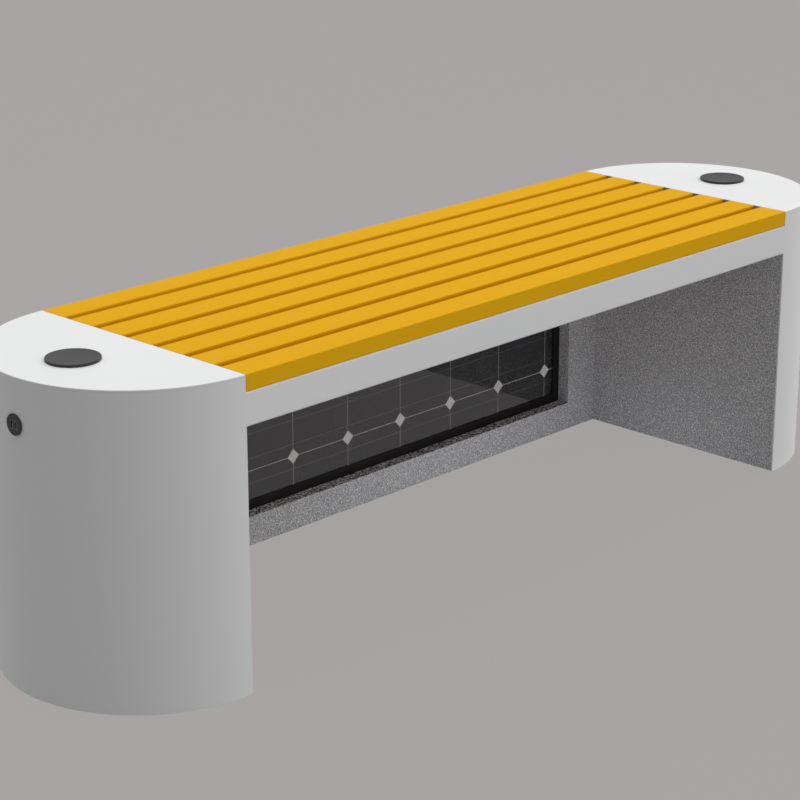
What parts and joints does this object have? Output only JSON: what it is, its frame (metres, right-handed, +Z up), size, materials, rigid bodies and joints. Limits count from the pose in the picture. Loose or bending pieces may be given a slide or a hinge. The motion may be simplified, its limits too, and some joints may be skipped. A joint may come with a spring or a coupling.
{
  "type": "solar charging bench",
  "caption": "Straight bench with half-round end pedestals, a slatted seat, charging pads and sockets at the ends and a glass solar module in the wall under the seat.",
  "frame": {"origin": "on the floor at the middle of the bench's outline", "axes": "+X along the seat, +Y from the open front towards the rear wall, +Z up"},
  "size_m": [1.685, 0.44, 0.474],
  "materials": {
    "white_coat": "white powder coat, satin, on steel sheet",
    "grey_coat": "light grey fine-textured powder coat with a speckle",
    "yellow_coat": "yellow powder coat on extruded slats",
    "zinc_steel": "zinc-plated steel",
    "pad_black": "black pad, fine matte face and smooth rim",
    "black_plastic": "black moulded plastic",
    "copper_coil": "lacquered copper winding",
    "black_anodised": "black anodised",
    "panel_glass": "clear flat pane",
    "silicon": "dark single-crystal cell with an anti-reflection coat",
    "tinned_ribbon": "tinned flat ribbon",
    "seal_rubber": "black rubber",
    "cable_rubber": "black cable sheath",
    "battery_case": "dark grey moulded case",
    "controller_case": "dark finned die-cast case"
  },
  "bodies": {
    "root": {"left_shell": "white_coat", "right_shell": "white_coat", "left_top_cover": "white_coat", "right_top_cover": "white_coat", "left_inner_wall": "grey_coat", "right_inner_wall": "grey_coat", "left_base_plate": "zinc_steel", "right_base_plate": "zinc_steel", "base_screws": "zinc_steel", "left_charger_pad": "pad_black", "right_charger_pad": "pad_black", "charger_coils": "copper_coil", "charger_bases": "black_plastic", "charger_nuts": "black_plastic", "left_usb_socket": "black_plastic", "right_usb_socket": "black_plastic", "usb_nuts": "black_plastic", "usb_cables": "cable_rubber", "front_apron": "white_coat", "rear_rail": "white_coat", "seat_bearers": "white_coat", "rail_cleats": "zinc_steel", "cleat_bolts": "zinc_steel", "slat_screws": "zinc_steel", "rear_wall": "grey_coat", "rear_cover": "white_coat", "cover_screws": "zinc_steel", "wall_bolts": "zinc_steel", "panel_gasket": "seal_rubber", "panel_frame": "black_anodised", "front_glass": "panel_glass", "solar_cells": "silicon", "cell_ribbons": "tinned_ribbon", "rear_glass": "panel_glass", "junction_box": "black_plastic", "panel_cable": "cable_rubber", "cable_grommets": "seal_rubber", "hinge_frame_leaves": "zinc_steel", "hinge_pins": "zinc_steel", "battery_tray": "zinc_steel", "battery": "battery_case", "battery_strap": "zinc_steel", "strap_screws": "zinc_steel", "charge_controller": "controller_case", "battery_cable": "cable_rubber", "charger_cable": "cable_rubber", "seat_cable": "cable_rubber", "slat_1": "yellow_coat", "slat_2": "yellow_coat", "slat_3": "yellow_coat", "slat_4": "yellow_coat", "slat_5": "yellow_coat", "slat_6": "yellow_coat", "slat_7": "yellow_coat"},
    "door": {"service_door": "grey_coat", "door_gasket": "seal_rubber", "hinge_door_leaves": "zinc_steel", "lock_body": "zinc_steel", "lock_nut": "zinc_steel"},
    "lock": {"lock_core": "zinc_steel"}
  },
  "joints": [
    {"name": "door_swing", "type": "hinge", "parent": "root", "child": "door", "pos_m": [-0.6138, 0.138, 0.22], "axis": [0, 0, 1], "range_deg": [0, 95]},
    {"name": "lock_turn", "type": "hinge", "parent": "door", "child": "lock", "pos_m": [-0.62, -0.13, 0.22], "axis": [-1, 0, 0], "range_deg": [0, 90]}
  ]
}
